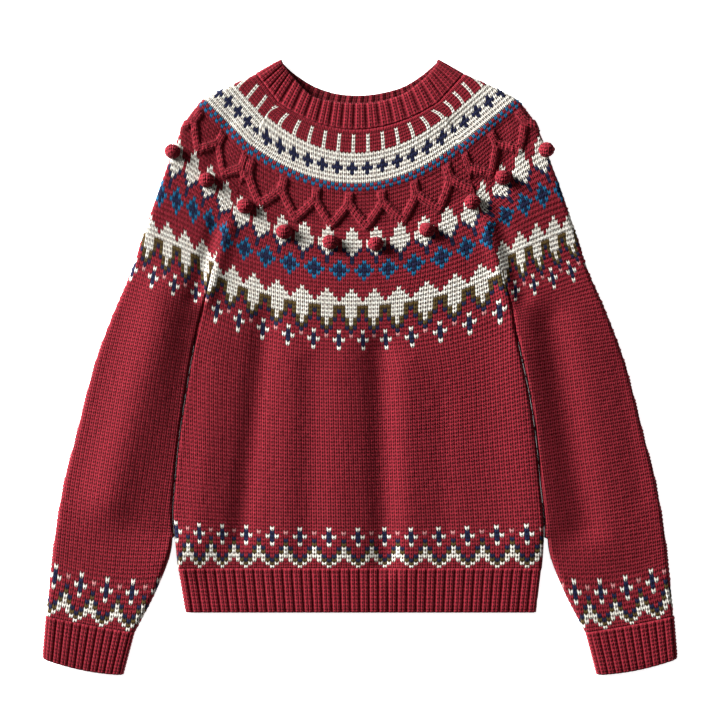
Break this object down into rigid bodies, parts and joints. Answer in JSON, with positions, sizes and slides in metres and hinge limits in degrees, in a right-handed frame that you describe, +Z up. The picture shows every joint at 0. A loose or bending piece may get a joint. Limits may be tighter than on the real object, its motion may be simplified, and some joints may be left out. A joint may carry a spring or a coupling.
{
  "type": "fair isle jumper",
  "caption": "Knitted raglan jumper with a patterned round yoke, bobbles, ribbed neckband, cuffs and hem, laid flat.",
  "frame": {"origin": "on the surface the jumper lies on, under the middle of its bounding box", "axes": "+Z up out of the surface, +Y from hem to neck, +X to the right of someone looking down at the front"},
  "size_m": [0.732, 0.709, 0.0207],
  "materials": {
    "knit": "deep red wool in stockinette, with cream, navy, teal and olive patterns on yoke, hem and cuffs",
    "rib": "deep red wool in ribbing",
    "bobble": "deep red wool, a tight round bobble"
  },
  "bodies": {
    "root": {"front": "knit", "back": "knit", "sleeve_left": "knit", "sleeve_right": "knit", "neckband": "rib", "hem_rib": "rib", "cuff_left": "rib", "cuff_right": "rib", "bobble_1": "bobble", "bobble_2": "bobble", "bobble_3": "bobble", "bobble_4": "bobble", "bobble_5": "bobble", "bobble_6": "bobble", "bobble_7": "bobble", "bobble_8": "bobble", "bobble_9": "bobble", "bobble_10": "bobble"}
  },
  "joints": []
}
